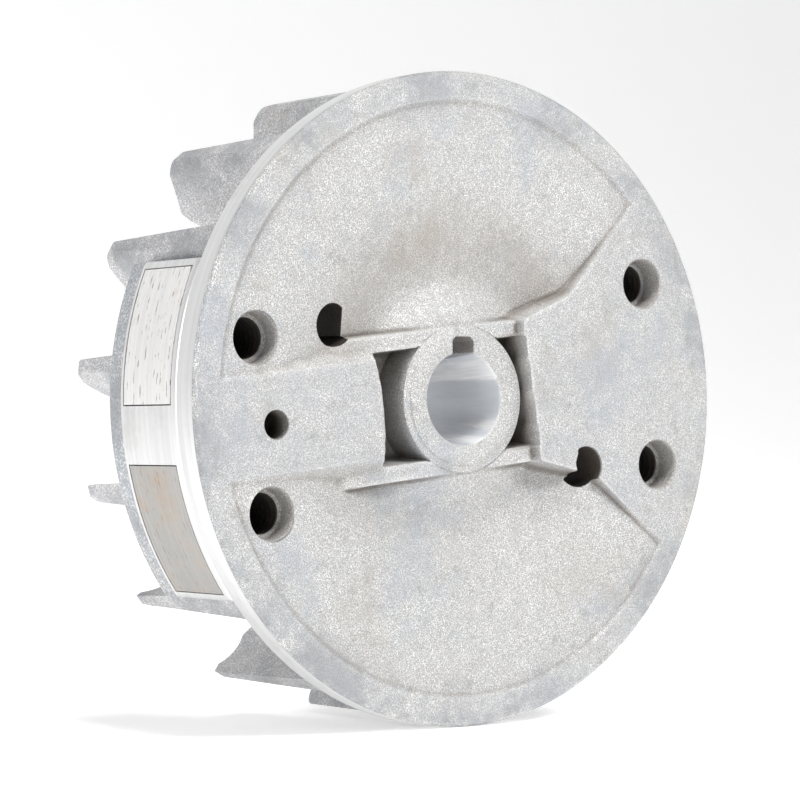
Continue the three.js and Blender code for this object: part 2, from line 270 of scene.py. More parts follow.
def recess_outline(side):
    """Corners of one recess: an arc inside the rim, the land's middle line, the pocket and the
    raised sector's edge with its knee."""
    far, land = np.radians(36.6), np.pi - np.arcsin(6.0 / 50.2)
    angle = np.linspace(far, land, 90)
    arc = np.stack([50.2 * np.cos(angle), side * 50.2 * np.sin(angle)], axis=1)
    wall = POCKET_RIGHT - side * POCKET_LEAN
    knee = [23.9, 15.4] if side > 0 else [26.6, -16.3]
    inner = np.array([[-19.0, side * 6.0], [wall - 0.5, side * 6.0], [wall, side * RIB_OUTER],
                      knee])
    corners = np.concatenate([arc, inner])
    return corners if side > 0 else corners[::-1]


RECESSES = [recess_outline(1), recess_outline(-1)]


def face_height(u, v):
    """Height of the engine side over the layout plane."""
    r = np.hypot(u, v)
    dish = dish_height(r)
    rib_side = np.abs(np.abs(v) - (RIB_INNER + RIB_OUTER) / 2) - (RIB_OUTER - RIB_INNER) / 2
    ribs = RIB_TOP - 9 * np.maximum(rib_side, 0) - 0.05 * np.maximum(-u - 22, 0) ** 2
    low = soft_max(dish, ribs, 0.5)
    land = TOP - 1.05 * np.maximum(np.abs(v) - LAND_HALF, 0) ** 1.03
    low = np.where(u < 0, soft_max(low, land, 0.6), low)
    height = np.full(u.shape, TOP)
    for outline in RECESSES:
        distance, _ = outline_distance(u, v, outline)
        rim = np.hypot(u, v) > 48.5
        slope = np.where(rim, 1.1, 6.0)
        wall = TOP - slope * np.maximum(-distance, 0)
        inside = soft_max(low, wall, np.where(rim, 0.35, 0.7))
        height = np.where(distance < 0, soft_min(height, inside, np.where(rim, 0.14, 0.22)), height)
    lip = np.maximum(u - POCKET_LEFT - 0.012 * (81 - np.minimum(v * v, 81)), 0)
    ramp = TOP - 0.35 * np.minimum(lip, 1.2) ** 2 - 1.9 * np.maximum(lip - 0.9, 0)
    wall_u = POCKET_RIGHT - POCKET_LEAN * v / RIB_INNER
    right = TOP + 10 * (u - wall_u)
    sides = RIB_TOP + 10 * (np.abs(v) - RIB_INNER)
    sides = np.where(np.abs(v) > RIB_INNER, 9.0, sides)
    pocket = soft_max(soft_max(np.full(u.shape, POCKET_FLOOR), ramp, 1.5),
                      soft_max(right, sides, 0.8), 0.8)
    pocket = np.where((u < POCKET_LEFT) | (u > wall_u) | (np.abs(v) > RIB_INNER), 9.0, pocket)
    return soft_min(height, pocket, np.interp(u, [10.5, 12.5], [0.15, 0.9]))


# %% [markdown]
# ## Holes
# Four screw holes, two cored D-shaped holes and one blind locating hole break through the face.
# A hole is an outline around a centre, carried inwards along a profile. The screw holes end in a
# cut thread: a 60 degree ridge that climbs one pitch each turn.

# %% Hole outlines
SCREW_TURNS = [180 - 18.8, 180 + 18.8, 21.4, -21.4]
SCREW_SPOTS = np.array([[43.9 * np.cos(np.radians(t)), 43.9 * np.sin(np.radians(t))]
                        for t in SCREW_TURNS])
CORE_TURNS = np.radians([149.5, 329.5])
CORE_SPOTS = np.array([[29.1, 28.4] * np.cos(CORE_TURNS), [29.1, 28.4] * np.sin(CORE_TURNS)]).T
PIN_SPOT = np.array([-39.5, 0.0])


def ring(count=96):
    """Directions all round, as angles."""
    return np.linspace(0, 2 * np.pi, count, endpoint=False)


def round_outline(spot, radius, count=96):
    turn = ring(count)
    return spot + radius * np.stack([np.cos(turn), np.sin(turn)], axis=1)


def core_outline(spot, radius=3.6, flat=2.2, notch=-1.9):
    """A circle cut off by a straight side towards the hub. Below the notch the circle is full.
    The straight side keeps to x and z, not to u and v."""
    turn = ring(144)
    x, z = radius * np.cos(turn), radius * np.sin(turn)
    toward = -np.sign(from_layout(*spot)[0])
    cut = flat + 0.25 * np.sin(1.7 * z + 0.6) * (toward < 0)
    x = np.where((toward * x > cut) & (z > notch), toward * cut, x)
    du, dv = to_layout(x, z)
    return spot + np.stack([du, dv], axis=1)


def hole_wall(outline, spot, profile):
    """An outline shrunk towards its centre and sunk: one row for each (inset, height)."""
    away = outline - spot
    reach = np.hypot(away[:, 0], away[:, 1])
    rows = []
    for inset, height in profile:
        uv = spot + away * ((reach - inset) / reach)[:, None]
        rows.append(np.column_stack([uv, np.full(len(uv), height)]))
    return np.concatenate(rows)


def screw_wall(spot, level, bottom, closed):
    """Relief bore, its floor, then the thread. Thread radius = core radius + ridge, where the
    ridge is a triangle wave of depth over pitch minus turn."""
    turn = ring(72)
    relief = [(4.5, level), (4.36, level - 0.06), (4.12, level - 0.4), (4.05, -2.45),
              (3.95, -2.6), (3.55, -2.62), (3.4, -2.72)]
    rows = [np.stack([r * np.cos(turn), r * np.sin(turn), np.full(len(turn), h)], axis=1)
            for r, h in relief]
    depth = np.arange(-2.85, bottom, -1.25 / 10)
    wave = np.abs(((depth[:, None] / 1.25 + turn[None, :] / (2 * np.pi)) % 1) - 0.5) * 2
    radius = 3.3 + 0.55 * np.clip(wave * 1.3 - 0.12, 0, 1)
    thread = np.stack([radius * np.cos(turn), radius * np.sin(turn),
                       np.broadcast_to(depth[:, None], radius.shape)], axis=-1)
    rows += list(thread)
    if closed:
        rows += [np.stack([r * np.cos(turn), r * np.sin(turn),
                           np.full(len(turn), bottom - (3.2 - r) * 0.6)], axis=1)
                 for r in (3.2, 1.6, 0.02)]
    points = np.concatenate(rows)
    points[:, :2] += spot
    return points, len(rows), len(turn)


# %% [markdown]
# ## A sheet over the layout plane
# The face starts as a fine grid square to u and v, with grid lines exactly on the ribs, the land
# and the pocket. Near a hole, the rim or a slanting wall the grid points slide a little, so that
# rows of them lie along the edge: their distance to it is rounded to whole cells. Every cell is
# then split along the diagonal that crosses less height, and cells in a hole are left out.


# %% Sheet builder
def graded(keys, cell):
    """Numbers from the first key to the last, about a cell apart, that hit every key."""
    parts = [np.linspace(a, b, max(1, round((b - a) / cell)), endpoint=False)
             for a, b in zip(keys[:-1], keys[1:])]
    return np.concatenate(parts + [[keys[-1]]])


def slide_to(u, v, distance, away, cell, cells=1.5):
    """Moves points within some cells of an edge to a whole number of cells from it."""
    near = np.abs(distance) < cells * cell
    shift = np.where(near, np.round(distance / cell) * cell - distance, 0)
    return u + away[..., 0] * shift, v + away[..., 1] * shift


def circle_distance(u, v, spot, radius):
    du, dv = u - spot[0], v - spot[1]
    reach = np.maximum(np.hypot(du, dv), 1e-9)
    return reach - radius, np.stack([du / reach, dv / reach], axis=-1)


def sheet(u_keys, v_keys, cell, height, inner, outer, outlines, edges=()):
    """Points and triangles of height(u, v) between two radii, without the outlined holes. A
    fourth number with each point is how far it lies below the mean of its four neighbours in
    the grid: above 0 in a hollow, below 0 on an edge."""
    u, v = np.meshgrid(graded(u_keys, cell), graded(v_keys, cell))
    for corners in edges:
        free = np.abs(v) > RIB_INNER - 0.2
        u[free], v[free] = slide_to(u[free], v[free],
                                    *outline_distance(u[free], v[free], corners), cell, 3.5)
    for radius in (inner, outer):
        u, v = slide_to(u, v, *circle_distance(u, v, (0, 0), radius), cell)
    drop = (np.hypot(u, v) < inner - 1e-4) | (np.hypot(u, v) > outer + 1e-4)
    for corners in outlines:
        middle = corners.mean(axis=0)
        near = np.hypot(u - middle[0], v - middle[1]) < 7.5
        distance, away = outline_distance(u[near], v[near], corners)
        u[near], v[near] = slide_to(u[near], v[near], distance, away, cell)
        drop[near] |= outline_distance(u[near], v[near], corners)[0] < -1e-3
    h = height(u, v)
    padded = np.pad(h, 1, mode="edge")
    hollow = (padded[2:, 1:-1] + padded[:-2, 1:-1] + padded[1:-1, 2:] + padded[1:-1, :-2]) / 4 - h
    for _ in range(2):
        wide = np.pad(hollow, 1, mode="edge")
        hollow = (wide[2:, 1:-1] + wide[:-2, 1:-1] + wide[1:-1, 2:] + wide[1:-1, :-2]
                  + 2 * hollow) / 6
    index = np.arange(u.size).reshape(u.shape)
    a, b, c, d = index[:-1, :-1], index[:-1, 1:], index[1:, 1:], index[1:, :-1]
    flat, gone = h.ravel(), drop.ravel()
    first = np.abs(flat[a] - flat[c]) + 9.0 * (gone[a] | gone[c])
    second = np.abs(flat[b] - flat[d]) + 9.0 * (gone[b] | gone[d])
    use_ac = (first <= second)[..., None]
    one = np.where(use_ac, np.stack([a, b, c], -1), np.stack([a, b, d], -1)).reshape(-1, 3)
    two = np.where(use_ac, np.stack([a, c, d], -1), np.stack([b, c, d], -1)).reshape(-1, 3)
    triangles = np.concatenate([one, two])
    triangles = triangles[~gone[triangles].any(axis=1)]
    used, triangles = np.unique(triangles, return_inverse=True)
    points = np.stack([u.ravel(), v.ravel(), flat, hollow.ravel()], axis=1)[used]
    return points, triangles.reshape(-1, 3)


def layout_to_frame(points):
    """(u, v, height) to (x, y, z): the height counts towards -Y."""
    x, z = from_layout(points[:, 0], points[:, 1])
    return np.stack([x, -points[:, 2], z], axis=1)

# %% [markdown]
# ## The face and its holes
# The face is one skin of metal, so it is one sheet. The walls of the holes are grids that start
# on the sheet's own hole edges. Numbers are kept with the points for the finish: how much painted
# shade a spot gets in hollows and deep places, how much its edge is painted lighter, as rubbed metal
# and as a painted highlight, whether it lies on the flat parts, and whether it lies in the dished ring.


# %% The face with its holes
u_keys = [-55, POCKET_LEFT, -14.0, 0.0, POCKET_RIGHT, 55]
v_keys = [-55, -RIB_OUTER, -RIB_INNER, -LAND_HALF, 0, LAND_HALF, RIB_INNER, RIB_OUTER, 55]
CELL = 0.33
screw_edges = [round_outline(spot, 4.5) for spot in SCREW_SPOTS]
core_edges = [core_outline(spot) for spot in CORE_SPOTS]
pin_edge = round_outline(PIN_SPOT, 2.45)
face_points, face_triangles = sheet(
    u_keys, v_keys, CELL, face_height, 12.5, 54.3, screw_edges + core_edges + [pin_edge],
    RECESSES)
face = make_piece("casting_engine_face", layout_to_frame(face_points[:, :3]),
                  [face_triangles], 38)
face_u, face_v, face_h, hollow = face_points.T
in_pocket = (np.abs(face_v) < RIB_INNER + 0.4) & (np.abs(face_u) < 22)
# Painted shade: the pocket darkens with depth, most towards its right wall, and every hollow of the
# face darkens too.
deep = np.clip((0.9 - face_h) / np.interp(face_u, [0, 11], [7.0, 2.6]), 0, 1)
pocket_shade = deep * np.interp(face_u, [0, 11], [0.36, 0.7])
paint_number(face, "painted_shade", np.maximum(np.clip(hollow * 9, 0, 0.5), pocket_shade * in_pocket))
flat_part = np.clip((face_h - 1.15) / 0.2, 0, 1)
on_land = (face_u < -19) & (np.abs(face_v) < LAND_HALF + 0.5)
paint_number(face, "flat", flat_part * np.where(on_land, 1.0, 0.55))
bowl_ring = np.exp(-((np.hypot(face_u, face_v) - 26.5) / 5.5) ** 2)
bowl = bowl_ring * np.interp(face_v, [8, 13], [0.25, 1])
paint_number(face, "bowl", bowl * np.clip((1.0 - face_h) / 0.6, 0, 1) * ~in_pocket)
# The edges and crests are painted lighter: partly metal rubbed by handling, partly a painted highlight.
paint_number(face, "edge_wear_and_highlight", np.clip(-face_points[:, 3] * 8, 0, 1))
parts, faces, start = [], [], 0


def add_grid(points, rows, columns, close_columns=True, flip=False):
    """Adds a grid of points to the piece that is being collected in parts and faces."""
    global start
    parts.append(points)
    faces.append(grid_faces(rows, columns, close_columns, start, flip))
    start += len(points)


for spot, closed in zip(SCREW_SPOTS, (True, True, False, False)):
    level = face_height(spot[:1] + 4.5, spot[1:2])[0]
    wall, rows, columns = screw_wall(spot, level, -13.0 if closed else -15.6, closed)
    add_grid(wall, rows, columns)
for spot, outline in zip(CORE_SPOTS, core_edges):
    level = face_height(*outline.T)[:, None]
    walls = hole_wall(outline, spot, [(0, 0), (0.08, -0.12), (0.16, -0.5), (0.4, 0)])
    walls = walls.reshape(4, -1, 3)
    walls[0, :, 2], walls[1, :, 2] = level[:, 0], level[:, 0] - 0.12
    walls[2, :, 2], walls[3, :, 2] = level[:, 0] - 0.5, -16.1
    add_grid(walls.reshape(-1, 3), 4, len(outline))
pin_rows = [(0, TOP), (0.1, TOP - 0.12), (0.12, TOP - 5.0), (0.3, TOP - 5.3), (2.43, TOP - 5.5)]
add_grid(hole_wall(pin_edge, PIN_SPOT, pin_rows), len(pin_rows), len(pin_edge))
hole_points = np.concatenate(parts)
holes = make_piece("casting_hole_walls", layout_to_frame(hole_points), faces, 38)
depth = -hole_points[:, 2]
# Painted shade: the holes get darker with depth, and a screw hole's relief floor is left lighter than
# its wall and thread.
screw_hole_shade = np.interp(depth, [0, 2.2, 2.66, 3.0, 6.0], [0.3, 0.55, 0.14, 0.85, 1.0])
cored_hole_shade = np.interp(depth, [-1.3, -0.9, 1.0, 4.0], [0.2, 0.75, 0.9, 1.0])
screw_gap = np.min(np.hypot(*(hole_points[:, None, :2] - SCREW_SPOTS[None]).transpose(2, 0, 1)), axis=1)
paint_number(holes, "painted_shade", np.where(screw_gap < 5, screw_hole_shade, cored_hole_shade))
for piece in (face, holes):
    print(piece.name, len(piece.data.polygons), "faces")
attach(holes, "root")
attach(face, "root")
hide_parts("casting")

# %% [markdown]
# ## Hub and tapered bore
# The hub is turned about Y except for its keyway, so its surface is a grid of angle by profile
# row. Where a row lies in the bore, its radius is the larger of the taper and the keyway, written
# as a polar radius: a side wall at x = a is a / cos(angle), the top at z = b is b / sin(angle).

# %% Hub
HUB_LENGTH = 27.0


def key_radius(turn, left=-2.45, right=2.05, top=10.45, corner=0.7):
    """Distance from the bore's axis to the keyway's wall in each direction, 0 off the keyway.
    The corners are cut at 45 degrees."""
    c, s = np.cos(turn), np.sin(turn)
    walls = [(s, top), (c, right), (-c, -left),
             ((c + s) / np.sqrt(2), (right + top - corner) / np.sqrt(2)),
             ((s - c) / np.sqrt(2), (top - left - corner) / np.sqrt(2))]
    reach = np.full(turn.shape, 1e9)
    for lean, distance in walls:
        reach = np.minimum(reach, np.where(lean > 1e-6, distance / np.maximum(lean, 1e-6), 1e9))
    return np.where((s > 0) & (reach < 14), reach, 0)


def hub_grid():
    """Rows of (radius, y) from the outer foot over the end face, through the bore and back over
    the far end. Rows between a round outer edge and the keyed bore edge are blends of the two."""
    fine = np.radians(np.arange(66, 116, 0.4))
    coarse = np.radians(np.concatenate([np.arange(-240, 66, 2.5), []]))
    turn = np.concatenate([coarse, fine])
    keyed = key_radius(turn)
    bore = lambda y, more=0.0: np.maximum(7.87 - y / 10 + more, keyed + more * (keyed > 0))
    round_row = lambda r: np.full(turn.shape, float(r))
    rows = [(round_row(12.7), 8.0), (round_row(12.6), 3.0), (round_row(12.58), 0.7),
            (round_row(12.45), 0.4), (round_row(12.2), 0.27), (round_row(11.45), 0.27),
            (round_row(11.3), 0.2), (round_row(11.22), 0.05), (round_row(11.12), 0.0)]
    edge = bore(0.0, 0.22)
    rows += [(11.12 + (edge - 11.12) * t, 0.0) for t in (0.3, 0.65, 1.0)]
    rows += [(bore(0.1, 0.06), 0.08), (bore(0.25), 0.25)]
    rows += [(bore(y), y) for y in np.linspace(1.0, HUB_LENGTH - 0.4, 24)]
    far = bore(HUB_LENGTH, 0.3)
    rows += [(far, HUB_LENGTH)]
    rows += [(far + (12.4 - far) * t, HUB_LENGTH) for t in (0.4, 0.8, 1.0)]
    rows += [(round_row(12.8), HUB_LENGTH - 0.18), (round_row(13.0), HUB_LENGTH - 0.6),
             (round_row(13.2), 16.0), (round_row(13.35), 14.0), (round_row(13.9), 12.6),
             (round_row(15.4), 11.4), (round_row(17), 11.1)]
    radius = np.stack([np.broadcast_to(r, turn.shape) for r, _ in rows])
    y = np.stack([np.full(turn.shape, yy) for _, yy in rows])
    points = np.stack([radius * np.cos(turn), y, radius * np.sin(turn)], axis=-1)
    return points.reshape(-1, 3), len(rows), len(turn)


hub_points, hub_rows, hub_columns = hub_grid()
hub = make_piece("casting_hub", hub_points, [grid_faces(hub_rows, hub_columns, True)], 34)
hub_reach = np.hypot(hub_points[:, 0], hub_points[:, 2])
in_keyway = (hub_reach > 8.1) & (hub_reach < 10.8) & (hub_points[:, 1] > 0.15)
in_keyway &= hub_points[:, 1] < HUB_LENGTH - 0.2
outer_foot = (hub_reach > 12.3) & (hub_points[:, 1] < 9)
# Painted shade in the keyway, and on the hub's foot growing darker towards the web.
paint_number(hub, "painted_shade", np.where(in_keyway, 0.5, np.where(
    outer_foot, np.interp(hub_points[:, 1], [0.5, 3, 8], [0, 0.15, 0.5]), 0)))
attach(hub, "root")


# %% [markdown]
# ## Rim and blade side
# The rim's edge and the back of the web are turned surfaces too. The web's back is a sheet like
# the face, because the holes break through it.


# %% Turned pieces
def turned(name, profile, count=360, smooth_angle=34.0):
    """A profile of (radius, y) rows turned about the bore. Rows run so that, seen from outside,
    the surface is on the left, which makes the faces point outwards."""
    turn = ring(count)
    profile = np.asarray(profile, dtype=float)
    heights = np.broadcast_to(profile[:, 1:], (len(profile), count))
    points = np.stack([profile[:, :1] * np.cos(turn), heights, profile[:, :1] * np.sin(turn)],
                      axis=-1)
    piece = make_piece(name, points.reshape(-1, 3), [grid_faces(len(profile), count, True)],
                       smooth_angle)
    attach(piece, "root")
    return piece


rim = turned("casting_rim", [
    (53.0, 3.9), (54.3, 3.9), (54.75, 3.83), (54.93, 3.66), (55.0, 3.4), (55.0, -0.55),
    (54.96, -0.72), (54.45, -1.3), (54.3, -1.4)])


def back_height(u, v):
    """How far the web's back lies behind the hub's end, counted as a negative height."""
    r = np.hypot(u, v)
    web = np.interp(r, [0, 25, 32, 44.6, 50, 56], [-5.3, -5.25, -4.4, -4.15, -3.9, -3.9])
    seat = -11.1 + 3.2 * np.maximum(r - 22.2, 0)
    return soft_min(web, seat, 1.4)


back_points, back_triangles = sheet(
    [-55, 0, 55], [-55, 0, 55], 0.8, back_height, 16.6, 53.0,
    [round_outline(spot, 4.4) for spot in SCREW_SPOTS]
    + [round_outline(spot, 3.7) for spot in CORE_SPOTS])
back = make_piece("casting_blade_side", layout_to_frame(back_points[:, :3]),
                  [back_triangles[:, ::-1]], 40)
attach(back, "root")


# %% [markdown]
# ## Bosses
# Each hole needs more metal than the thin web has, so a short tapered boss stands behind it. The
# two bosses beside the magnet are closed, since their holes don't go through.


# %% Bosses behind the holes
def boss(name, spot, outer, end, closed, hole):
    """A short tapered tube: (radius, y) rows from the web up the outside, over a rounded edge,
    and down the hole. The hole's rows follow the outline hole, given around the spot in x and
    z. A closed boss ends in a flat."""
    turn = ring(len(hole))
    around = np.stack([np.cos(turn), np.sin(turn)], axis=1)
    rows = [(outer + 1.5, 3.6), (outer + 0.8, 4.6), (outer + 0.35, 6.0), (outer, 9.0),
            (outer - 0.1, end - 0.5), (outer - 0.25, end - 0.15), (outer - 0.6, end)]
    rows += [(outer * 0.5, end), (0.02, end)] if closed else []
    rings = [radius * around for radius, _ in rows]
    heights = [height for _, height in rows]
    if not closed:
        rings += [hole, hole * 0.985]
        heights += [end, end - 0.35]
    x, z = from_layout(*spot)
    points = np.concatenate([np.column_stack([x + line[:, 0], np.full(len(line), height),
                                              z + line[:, 1]])
                             for line, height in zip(rings, heights)])
    piece = make_piece(name, points, [grid_faces(len(rings), len(turn), True, flip=True)], 40)
    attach(piece, "root")
    return piece


bosses = [boss(f"screw_boss_{i + 1}", spot, 6.35, 15.5, i < 2, round_outline(0, 3.6, 64))
          for i, spot in enumerate(SCREW_SPOTS)]
for i, spot in enumerate(CORE_SPOTS):
    inner = np.stack(from_layout(*(core_outline(spot) - spot).T), axis=1)
    inner *= (1 - 0.4 / np.hypot(inner[:, 0], inner[:, 1]))[:, None]
    bosses.append(boss(f"core_boss_{i + 1}", spot, 6.2, 16.0, False, inner))
print("bosses:", [piece.name for piece in bosses])


# %% [markdown]
# ## Cooling blades
# Sixteen bent blades stand on the web. A blade's outline at any height is a rounded strip around
# an arc: one parameter runs round the strip, the other up the blade. The strip thins towards its
# tip by the die's draft, flares at its root, and both its ends are cut by cylinders about the bore.

# %% Blades
BLADE_COUNT, BLADE_FIRST, BLADE_RADIUS = 16, 106.6, 53.9


def blade_points(first_angle, around=64):
    """Points of one blade. The arc's centre C comes from the lean at the outer end. A point at
    offset o from the arc and share p along it sits at angle a0 + p (a1 - a0) about C, where a0
    and a1 are the angles at which the circle of radius bend + o leaves the two cylinders."""
    outward = np.array([np.cos(first_angle), np.sin(first_angle)])
    across = np.array([-outward[1], outward[0]])
    lean, bend = np.radians(37.6), 17.8
    centre = outward * (BLADE_RADIUS - bend * np.sin(lean)) - across * bend * np.cos(lean)
    reach = np.hypot(*centre)
    centre_turn = np.arctan2(centre[1], centre[0])

    def leaves(offset, cylinder):
        size = bend + offset
        cosine = (cylinder ** 2 - reach ** 2 - size ** 2) / (2 * reach * size)
        return centre_turn + np.arccos(np.clip(cosine, -1, 1))

    tip = 38.1
    rise = np.concatenate([[2.6, 4.2, 4.5, 5.0, 5.8], np.arange(7, 16.1, 1),
                           np.linspace(17, tip - 3.2, 14),
                           tip - 3.0 + 3.0 * np.sin(np.linspace(0.06, np.pi / 2, 18))])
    half = 1.1 + (tip - rise) * 0.0385 + 0.85 * np.exp(-(rise - 4.2).clip(0) / 0.8)
    edge = np.sqrt(np.clip(1 - ((rise - (tip - 0.5)).clip(0) / 0.5) ** 2, 0, 1))
    half = half - 0.5 * (1 - edge)
    up = ((rise - (tip - 3.0)).clip(0) / 3.0)
    outer = BLADE_RADIUS - 2.7 * (1 - np.sqrt(np.clip(1 - up ** 2, 0, 1)))
    fine = np.linspace(2, tip, 361)
    inner = np.interp(fine, [2, 12, tip - 4.5, tip - 0.6, tip], [37.2, 37.6, 41, 44.3, 44.8])
    for _ in range(3):
        inner = np.convolve(np.pad(inner, 20, mode="edge"), np.ones(41) / 41, mode="valid")
    rounding = np.clip((rise - (tip - 1.7)) / 1.7, 0, 1)
    inner = np.interp(rise, fine, inner) + 1.8 * (1 - np.sqrt(1 - rounding ** 2))
    k = np.linspace(0, 2 * np.pi, around, endpoint=False)
    box = 1 / np.maximum(np.abs(np.cos(k)), np.abs(np.sin(k)))
    p_side, q_side = np.cos(k) * box, np.sin(k) * box
    length = 8.0
    corner = 0.45
    gap_p = (1 - np.abs(p_side)) * length
    drop = np.sqrt(np.clip(corner ** 2 - (corner - gap_p) ** 2, 0, None))
    pull = np.where(gap_p < corner, corner - drop, 0)
    pull = np.where(gap_p > 1e-9, pull, corner)
    q = q_side[None, :] * (1 - pull[None, :] / half[:, None])
    offset = q * half[:, None]
    p = (1 + p_side) / 2
    a0 = leaves(offset, outer[:, None])
    a1 = leaves(offset, inner[:, None])
    turn = a0 + (a1 - a0) * p[None, :]
    radius = bend + offset
    s = p[None, :] * 14.0
    droop = np.clip((rise - 6) / (tip - 6), 0, 1)[:, None] ** 2 * (0.222 * s - 0.018 * s * s)
    x = centre[0] + radius * np.cos(turn)
    z = centre[1] + radius * np.sin(turn)
    y = np.broadcast_to(rise[:, None], x.shape) - droop
    cap = []
    for share in (0.6, 0.0):
        o = offset[-1] * share
        a0c, a1c = leaves(o, outer[-1]), leaves(o, inner[-1])
        middle = 0.5 + (p - 0.5) * (0.94 + 0.06 * share)
        t = a0c + (a1c - a0c) * middle
        cap.append(np.stack([centre[0] + (bend + o) * np.cos(t), y[-1],
                             centre[1] + (bend + o) * np.sin(t)], axis=-1))
    rows = list(np.stack([x, y, z], axis=-1)) + cap
    return np.concatenate(rows), len(rows), around


screw_axes = np.array([from_layout(*spot) for spot in SCREW_SPOTS])
for i in range(BLADE_COUNT):
    points, rows, columns = blade_points(np.radians(BLADE_FIRST + i * 360 / BLADE_COUNT))
    strip = kept(grid_faces(rows, columns, True), points, screw_axes, 5.2, 0, 15.4)
    blade = make_piece(f"cooling_blade_{i + 1:02d}", points, [strip], 40)
    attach(blade, "root")

# %% [markdown]
# ## Magnet sector
# A thick curved block stands behind the rim. Its outside is turned flush with the pole shoes,
# its back edge is left round from the die. The outside is a grid of angle by height whose lines
# fall on the two windows for the shoes, so the windows are simply cells left out, with narrow
# walls going in around them.

# %% Sector block
SECTOR_R, SECTOR_INNER, SECTOR_BACK = 54.8, 44.6, 25.0
MAGNET_TURN = 186.5
SHOE_START, SHOE_END, GAP = 5.85, 19.75, 0.2
gap_turn = np.degrees(GAP / SECTOR_R)
windows = [(MAGNET_TURN - 5.2 - 23.6 - gap_turn, MAGNET_TURN - 5.2 + gap_turn),
           (MAGNET_TURN + 5.2 - gap_turn, MAGNET_TURN + 5.2 + 23.6 + gap_turn)]


def sector_section(ease):
    """Half a cross-section of the block as (radius, y) rows, from the rim up the outside, over
    the round back edge and down the inside. ease shrinks it towards its middle at the ends."""
    turn = np.linspace(0, np.pi / 2, 7)
    outside = [(SECTOR_R - 0.55, 3.4), (SECTOR_R - 0.5, 4.1), (SECTOR_R - 0.12, 4.35),
               (SECTOR_R, 4.6)]
    back = [(SECTOR_R - 1.3 + 1.3 * np.cos(t), SECTOR_BACK - 1.3 + 1.3 * np.sin(t)) for t in turn]
    inner = [(SECTOR_INNER + 1.2 - 1.2 * np.sin(t), SECTOR_BACK - 1.2 + 1.2 * np.cos(t))
             for t in turn]
    foot = [(SECTOR_INNER, y) for y in (20, 16.5, 15, 13, 11, 9)]
    foot += [(SECTOR_INNER - 0.3, 7.0), (SECTOR_INNER - 1.1, 5.0), (SECTOR_INNER - 2.6, 4.0)]
    levels = [SHOE_START - GAP] + list(np.linspace(8, 18, 5)) + [SHOE_END + GAP, 20.6, 22.0]
    rows = outside + [(SECTOR_R, y) for y in levels] + back + inner + foot
    rows = np.array(rows, dtype=float)
    middle = np.array([(SECTOR_R + SECTOR_INNER) / 2, 3.0])
    offset = rows[:, 0] - middle[0]
    shrink = np.stack([np.minimum(np.abs(offset), ease) * np.sign(offset),
                       np.where(rows[:, 1] > SECTOR_BACK - 3, ease, 0)], axis=1)
    return rows - shrink


def sector_block():
    """The section carried round the bore. The last few sections shrink along a quarter circle,
    which rounds the block's two ends, and a flat cap closes them."""
    half, edge = 30.8, 1.1
    round_over = np.linspace(0, np.pi / 2, 6)
    edge_turn = np.degrees(edge / SECTOR_R)
    ends = [(-half + edge_turn * (1 - np.cos(t)), edge * (1 - np.sin(t))) for t in round_over]
    keys = sorted([a - MAGNET_TURN for w in windows for a in w])
    middle = graded([-half + edge_turn] + keys + [half - edge_turn], 0.9)
    turns = [(a, e) for a, e in ends[:-1]] + [(m, 0.0) for m in middle]
    turns += [(-a, e) for a, e in ends[:-1][::-1]]
    sections = np.stack([sector_section(e) for _, e in turns])
    angle = np.radians(MAGNET_TURN + np.array([a for a, _ in turns]))[:, None]
    points = np.stack([sections[..., 0] * np.cos(angle), sections[..., 1],
                       sections[..., 0] * np.sin(angle)], axis=-1)
    return points, np.degrees(angle[:, 0]), sections


points, angles, sections = sector_block()
count, rows = points.shape[:2]
quads = grid_faces(count, rows, False)
middle_angle = (angles[:-1, None] + angles[1:, None]) / 2 + np.zeros((1, rows - 1))
middle_y = (sections[:-1, :-1, 1] + sections[1:, 1:, 1]) / 2
middle_r = (sections[:-1, :-1, 0] + sections[1:, 1:, 0]) / 2
open_cell = np.zeros(middle_y.shape, dtype=bool)
for low, high in windows:
    open_cell |= ((middle_angle > low) & (middle_angle < high) & (middle_r > SECTOR_R - 0.01)
                  & (middle_y > SHOE_START - GAP) & (middle_y < SHOE_END + GAP))
shell = kept(quads[~open_cell.ravel()], points.reshape(-1, 3), screw_axes, 5.4, 0, 15.4)
parts, faces, start = [points.reshape(-1, 3)], [shell], count * rows
for end, flip in ((0, True), (-1, False)):
    rim_row = points[end]
    centre = np.repeat(rim_row.mean(axis=0)[None], rows, axis=0)
    add_grid(np.concatenate([rim_row, centre]), 2, rows, False, flip=flip)
window_floor = 48.4
window_steps = 28
window_front = np.full(window_steps, SHOE_START - GAP)
window_back = np.full(window_steps, SHOE_END + GAP)
for low, high in windows:
    along = np.linspace(low, high, window_steps)
    corners = np.concatenate([np.stack([along, window_front], 1),
                              np.stack([along[::-1], window_back], 1)])
    spin = np.radians(corners[:, 0])
    walls = [np.stack([r * np.cos(spin), corners[:, 1], r * np.sin(spin)], axis=1)
             for r in (SECTOR_R, SECTOR_R - 0.3, window_floor)]
    add_grid(np.concatenate(walls), 3, 2 * window_steps, True, flip=True)
    window_x = window_floor * np.cos(np.radians(along))
    window_z = window_floor * np.sin(np.radians(along))
    floor_rows = [np.stack([window_x, y, window_z], 1) for y in (window_front, window_back)]
    add_grid(np.concatenate(floor_rows), 2, window_steps, False, flip=True)
sector = make_piece("casting_magnet_sector", np.concatenate(parts), faces, 40)
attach(sector, "root")

# %% [markdown]
# ## Pole shoes
# Each shoe is a riveted pack of steel laminations. The CAD plates have the right size and place,
# so each one is copied, its loose triangles are merged, and the copy is shaded smooth round the
# curve. The rivets and the magnet are hidden in the casting and stay as they are.


